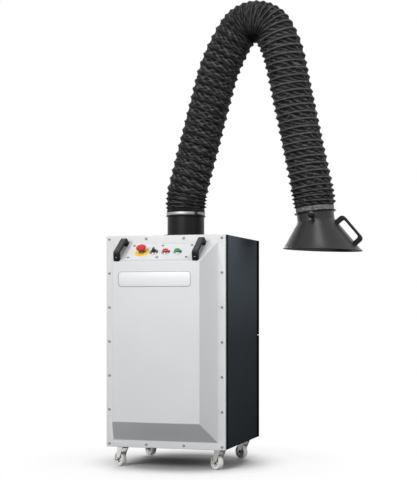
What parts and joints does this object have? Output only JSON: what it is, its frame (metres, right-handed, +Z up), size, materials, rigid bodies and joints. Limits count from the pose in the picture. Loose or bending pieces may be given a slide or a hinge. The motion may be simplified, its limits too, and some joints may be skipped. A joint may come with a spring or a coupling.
{
  "type": "mobile welding fume extractor",
  "caption": "Upright sheet-metal fume extractor on swivel casters, with front controls and a ribbed suction arm that ends in a flared hood.",
  "frame": {"origin": "on the floor, straight below the arm's swivel axis", "axes": "+X right seen from the front, +Y to the back, +Z up; the controls face -Y"},
  "size_m": [1.0376, 0.708, 1.9552],
  "materials": {
    "cover_grey": "satin light grey powder coat",
    "panel_anthracite": "satin anthracite powder coat",
    "frame_black": "black powder coat",
    "galvanised": "zinc-plated sheet",
    "handle_black": "textured black plastic",
    "plate_grey": "satin light grey",
    "screw_steel": "bright zinc",
    "signal_yellow": "yellow plastic",
    "collar_brown": "grey-brown plastic",
    "signal_red": "red plastic",
    "signal_green": "green plastic",
    "bezel_chrome": "polished",
    "control_black": "black plastic",
    "filter_white": "pleated filter medium",
    "motor_grey": "grey enamel",
    "fork_zinc": "zinc-plated pressed steel",
    "wheel_nylon": "grey-white nylon",
    "collar_black": "smooth black",
    "clamp_steel": "stainless band",
    "arm_black": "black coated steel",
    "pivot_steel": "zinc-plated",
    "hose_black": "coated fabric over a wire helix",
    "hood_dark": "satin dark grey powder coat"
  },
  "bodies": {
    "cabinet": {"front_cover": "cover_grey", "cover_frame": "frame_black", "left_side_panel": "panel_anthracite", "right_side_panel": "panel_anthracite", "top_panel": "panel_anthracite", "base_tray": "frame_black", "chamber_shelf": "galvanised", "left_handle": "handle_black", "right_handle": "handle_black", "control_plate": "plate_grey", "pan_head_screws": "screw_steel", "estop_disc": "signal_yellow", "estop_body": "collar_brown", "switch_bodies": "bezel_chrome", "contact_blocks": "control_black", "hinge_posts": "frame_black", "main_filter": "filter_white", "spark_screen": "galvanised", "fan_scroll": "galvanised", "fan_motor": "motor_grey", "electrics_box": "motor_grey", "cable_gland": "handle_black", "caster_plates": "fork_zinc", "swivel_ring": "collar_black"},
    "turret": {"turret_collar": "collar_black", "shoulder_bracket": "arm_black", "shoulder_pivot": "pivot_steel", "hose_clamp": "clamp_steel"},
    "lower_arm": {"lower_arm": "arm_black", "elbow_pivot": "pivot_steel", "hose_lower": "hose_black", "hose_middle": "hose_black"},
    "upper_arm": {"upper_arm": "arm_black", "hose_upper": "hose_black"},
    "wrist": {"wrist_link": "arm_black", "wrist_pivot": "pivot_steel"},
    "hood": {"hood": "hood_dark", "hood_ring": "hood_dark", "hood_handle": "handle_black"},
    "damper": {"damper_flap": "hood_dark", "damper_knob": "handle_black"},
    "impeller": {"fan_impeller": "galvanised"},
    "estop": {"estop_button": "signal_red"},
    "selector": {"selector_knob": "control_black"},
    "stop": {"stop_button": "signal_red"},
    "start": {"start_button": "signal_green"},
    "upper_door": {"upper_rear_door": "panel_anthracite", "upper_door_hinges": "frame_black"},
    "lower_door": {"lower_rear_door": "panel_anthracite", "lower_door_hinges": "frame_black"},
    "upper_lock": {"upper_door_lock": "handle_black"},
    "lower_lock": {"lower_door_lock": "handle_black"},
    "front_left_fork": {"front_left_caster_fork": "fork_zinc"},
    "front_left_wheel": {"front_left_caster_wheel": "wheel_nylon"},
    "front_right_fork": {"front_right_caster_fork": "fork_zinc"},
    "front_right_wheel": {"front_right_caster_wheel": "wheel_nylon"},
    "rear_left_fork": {"rear_left_caster_fork": "fork_zinc"},
    "rear_left_wheel": {"rear_left_caster_wheel": "wheel_nylon"},
    "rear_right_fork": {"rear_right_caster_fork": "fork_zinc"},
    "rear_right_wheel": {"rear_right_caster_wheel": "wheel_nylon"}
  },
  "joints": [
    {"name": "arm_swivel", "type": "hinge", "parent": "cabinet", "child": "turret", "pos_m": [0, 0, 0.958], "axis": [0, 0, 1], "range_deg": [-170, 170]},
    {"name": "shoulder_tilt", "type": "hinge", "parent": "turret", "child": "lower_arm", "pos_m": [0, 0, 1.13637], "axis": [0, 1, 0], "range_deg": [-35, 20], "deforming": ["hose_lower"]},
    {"name": "elbow_fold", "type": "hinge", "parent": "lower_arm", "child": "upper_arm", "pos_m": [0.30801, 0, 1.83739], "axis": [0, -1, 0], "range_deg": [-5, 80], "deforming": ["hose_middle"]},
    {"name": "wrist_tilt", "type": "hinge", "parent": "upper_arm", "child": "wrist", "pos_m": [0.55758, 0, 1.12158], "axis": [0, 1, 0], "range_deg": [-45, 45], "deforming": ["hose_upper"]},
    {"name": "hood_swivel", "type": "hinge", "parent": "wrist", "child": "hood", "pos_m": [0.56385, 0, 1.06191], "axis": [0.1045, 0, -0.9945], "range_deg": [-120, 120]},
    {"name": "damper_turn", "type": "hinge", "parent": "hood", "child": "damper", "pos_m": [0.56584, 0, 1.04301], "axis": [0, -1, 0], "range_deg": [0, 90]},
    {"name": "fan_spin", "type": "hinge", "parent": "cabinet", "child": "impeller", "pos_m": [0, 0, 0.45], "axis": [0, 0, 1], "continuous": true},
    {"name": "estop_press", "type": "slide", "parent": "cabinet", "child": "estop", "axis": [0, 0.5563, -0.831], "range_m": [0, 0.005]},
    {"name": "stop_press", "type": "slide", "parent": "cabinet", "child": "stop", "axis": [0, 0.5563, -0.831], "range_m": [0, 0.003], "stiffness_N_per_m": 400},
    {"name": "start_press", "type": "slide", "parent": "cabinet", "child": "start", "axis": [0, 0.5563, -0.831], "range_m": [0, 0.003], "stiffness_N_per_m": 400},
    {"name": "selector_turn", "type": "hinge", "parent": "cabinet", "child": "selector", "pos_m": [-0.025, -0.34466, 0.88472], "axis": [0, -0.5563, 0.831], "range_deg": [-45, 45]},
    {"name": "upper_door_swing", "type": "hinge", "parent": "cabinet", "child": "upper_door", "pos_m": [-0.2588, 0.245, 0.75], "axis": [0, 0, 1], "range_deg": [0, 110]},
    {"name": "lower_door_swing", "type": "hinge", "parent": "cabinet", "child": "lower_door", "pos_m": [-0.2588, 0.245, 0.31], "axis": [0, 0, 1], "range_deg": [0, 110]},
    {"name": "upper_lock_turn", "type": "hinge", "parent": "upper_door", "child": "upper_lock", "pos_m": [0.2085, 0.262, 0.75025], "axis": [0, 1, 0], "range_deg": [0, 90]},
    {"name": "lower_lock_turn", "type": "hinge", "parent": "lower_door", "child": "lower_lock", "pos_m": [0.2085, 0.262, 0.31475], "axis": [0, 1, 0], "range_deg": [0, 90]},
    {"name": "front_left_swivel", "type": "hinge", "parent": "cabinet", "child": "front_left_fork", "pos_m": [-0.211, -0.202, 0.082], "axis": [0, 0, 1], "continuous": true},
    {"name": "front_left_roll", "type": "hinge", "parent": "front_left_fork", "child": "front_left_wheel", "pos_m": [-0.22684, -0.19151, 0.03], "axis": [-0.5519, -0.8339, 0], "continuous": true},
    {"name": "front_right_swivel", "type": "hinge", "parent": "cabinet", "child": "front_right_fork", "pos_m": [0.211, -0.202, 0.082], "axis": [0, 0, 1], "continuous": true},
    {"name": "front_right_roll", "type": "hinge", "parent": "front_right_fork", "child": "front_right_wheel", "pos_m": [0.19516, -0.19151, 0.03], "axis": [-0.5519, -0.8339, 0], "continuous": true},
    {"name": "rear_left_swivel", "type": "hinge", "parent": "cabinet", "child": "rear_left_fork", "pos_m": [-0.211, 0.181, 0.082], "axis": [0, 0, 1], "continuous": true},
    {"name": "rear_left_roll", "type": "hinge", "parent": "rear_left_fork", "child": "rear_left_wheel", "pos_m": [-0.22684, 0.19149, 0.03], "axis": [-0.5519, -0.8339, 0], "continuous": true},
    {"name": "rear_right_swivel", "type": "hinge", "parent": "cabinet", "child": "rear_right_fork", "pos_m": [0.211, 0.181, 0.082], "axis": [0, 0, 1], "continuous": true},
    {"name": "rear_right_roll", "type": "hinge", "parent": "rear_right_fork", "child": "rear_right_wheel", "pos_m": [0.19516, 0.19149, 0.03], "axis": [-0.5519, -0.8339, 0], "continuous": true}
  ]
}
